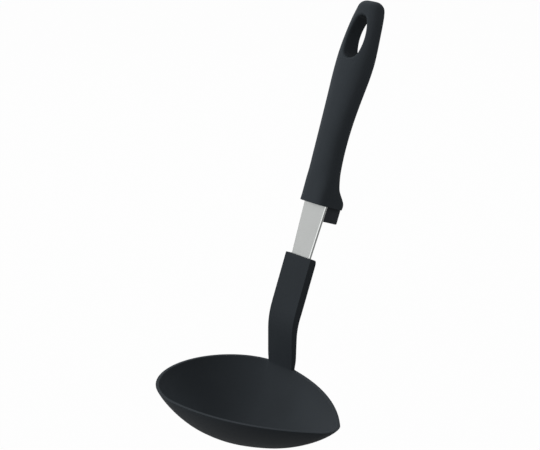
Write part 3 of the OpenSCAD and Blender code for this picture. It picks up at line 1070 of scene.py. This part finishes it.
def strip_lamp(name, place, target, width, height, power):
    """A tall soft lamp that lights the ladle and isn't itself mirrored in it."""
    lamp = bpy.data.lights.new(name, "AREA")
    lamp.shape = "RECTANGLE"
    lamp.size = width
    lamp.size_y = height
    lamp.energy = power
    holder = bpy.data.objects.new(name, lamp)
    bpy.context.scene.collection.objects.link(holder)
    holder.location = place
    holder.rotation_euler = (target - place).to_track_quat("-Z", "Y").to_euler()
    holder.visible_glossy = False


def direction_at(azimuth, elevation):
    """Direction from the ladle towards an angle round it from its front, and above the level."""
    return Vector((math.sin(azimuth) * math.cos(elevation),
                   -math.cos(azimuth) * math.cos(elevation), math.sin(elevation)))


def aim_camera(scene, studio, target):
    direction = direction_at(studio.azimuth, studio.elevation)
    lens = bpy.data.cameras.new("Camera")
    lens.sensor_fit = "HORIZONTAL"
    lens.sensor_width = SENSOR_WIDTH
    lens.lens = studio.lens
    lens.clip_start = CLIP_NEAR
    lens.clip_end = CLIP_FAR
    camera = bpy.data.objects.new("Camera", lens)
    scene.collection.objects.link(camera)
    camera.location = target + direction * studio.distance
    camera.rotation_euler = direction.to_track_quat("Z", "Y").to_euler()
    scene.camera = camera


def lay_floor(scene, height):
    bm = bmesh.new()
    bmesh.ops.create_grid(bm, x_segments=1, y_segments=1, size=FLOOR_HALF)
    bmesh.ops.translate(bm, vec=(0, 0, height), verts=bm.verts[:])
    mesh = bpy.data.meshes.new("Floor")
    bm.to_mesh(mesh)
    bm.free()
    floor = bpy.data.objects.new("Floor", mesh)
    scene.collection.objects.link(floor)
    mesh.materials.append(pale_floor())


class LADLE_OT_studio(bpy.types.Operator):
    """Set up the pale floor, the soft light and the camera"""
    bl_idname = "ladle.studio"
    bl_label = "Studio"

    def execute(self, context):
        scene = context.scene
        studio = scene.ladle_studio
        places = lean_places(scene)
        target = Vector((0, places.rim_y + studio.look_y, places.rim_z + studio.look_z))
        aim_camera(scene, studio, target)
        lay_floor(scene, places.rim_z - scene.ladle_bowl.depth - studio.floor_gap)
        middle = Vector((0, places.rim_y / 2, places.rim_z / 2))
        for name, azimuth, elevation, power in (
                ("Key", studio.light_azimuth, studio.light_elevation, studio.light_power),
                ("Back", studio.back_azimuth, studio.back_elevation, studio.back_power)):
            strip_lamp(name, middle + direction_at(azimuth, elevation) * studio.light_distance, middle,
                       studio.light_width, studio.light_height, power)
        bright_room(scene, studio.fill)
        scene.view_settings.view_transform = "Standard"
        return {"FINISHED"}


def pale_floor():
    """A pale floor that keeps shadows, shows white to the camera and pale in reflections."""
    finish = Finish(bpy.data.materials.new("Pale floor"))
    diffuse = finish.node("ShaderNodeBsdfDiffuse", {}, {"Color": (*[FLOOR_GREY] * 3, 1)})
    white = finish.node("ShaderNodeEmission", {}, {"Color": (1, 1, 1, 1), "Strength": 1.0})
    reflected = finish.light_path("Is Glossy Ray") + finish.light_path("Is Transmission Ray")
    share = finish.light_path("Is Camera Ray") * FLOOR_SEEN + reflected * FLOOR_MIRRORED
    return finish.surface(finish.node("ShaderNodeMixShader", {}, {0: share, 1: diffuse, 2: white}))


def bright_room(scene, fill):
    """White for the camera, white to pale grey in reflections, and an even fill light."""
    scene.world = bpy.data.worlds.new("Room")
    room = Finish(scene.world)
    seen = room.light_path("Is Camera Ray")
    reflected = room.light_path("Is Glossy Ray") + room.light_path("Is Transmission Ray")
    toward = room.node("ShaderNodeTexCoord", {}, {}, "Generated")
    facing = room.node("ShaderNodeVectorMath", {"operation": "DOT_PRODUCT"},
                       {0: toward, 1: direction_at(PALE_AZIMUTH, 0)}, "Value")
    pale = room.node("ShaderNodeMapRange", {"clamp": True},
                     {0: facing, 1: -PALE_TURN, 2: PALE_TURN, 3: PALE_LOWEST, 4: 1.0})
    up = room.node("ShaderNodeSeparateXYZ", {}, {0: toward}, "Z")
    strength = seen + reflected * pale + (1 - seen - reflected) * (1 + up * SKY_RISE) * fill
    sky = room.node("ShaderNodeBackground", {}, {"Color": (1, 1, 1, 1), "Strength": strength})
    room.node("ShaderNodeOutputWorld", {}, {"Surface": sky})


class LADLE_PT_panel(bpy.types.Panel):
    """The ladle's pieces, sizes and finishes"""
    bl_idname = "LADLE_PT_panel"
    bl_label = "Ladle"
    bl_space_type = "VIEW_3D"
    bl_region_type = "UI"
    bl_category = "Ladle"

    def draw(self, context):
        layout = self.layout
        scene = context.scene
        for operator, groups in PIECES:
            box = layout.box()
            box.operator(operator.bl_idname)
            for group in groups:
                settings = getattr(scene, group)
                for name in settings.bl_rna.properties.keys():
                    if name not in ("rna_type", "name"):
                        box.prop(settings, name)


PIECES = (
    (LADLE_OT_bowl, ("ladle_finishes", "ladle_bowl", "ladle_neck")),
    (LADLE_OT_shank, ("ladle_shank",)),
    (LADLE_OT_core, ("ladle_core",)),
    (LADLE_OT_grip, ("ladle_grip",)),
    (LADLE_OT_studio, ("ladle_studio",)),
)
GROUPS = {
    "ladle_bowl": LadleBowlSizes,
    "ladle_neck": LadleNeckSizes,
    "ladle_shank": LadleShankSizes,
    "ladle_core": LadleCoreSizes,
    "ladle_grip": LadleGripSizes,
    "ladle_finishes": LadleFinishes,
    "ladle_studio": LadleStudio,
}
CLASSES = (*GROUPS.values(), *(operator for operator, _ in PIECES), LADLE_PT_panel)


def register():
    for cls in CLASSES:
        bpy.utils.register_class(cls)
    for name, group in GROUPS.items():
        setattr(bpy.types.Scene, name, PointerProperty(type=group))


def unregister():
    for name in GROUPS:
        delattr(bpy.types.Scene, name)
    for cls in reversed(CLASSES):
        bpy.utils.unregister_class(cls)


def main():
    register()
    bpy.ops.ladle.bowl()
    bpy.ops.ladle.shank()
    bpy.ops.ladle.core()
    bpy.ops.ladle.grip()
    bpy.ops.ladle.studio()


if __name__ == "__main__":
    main()
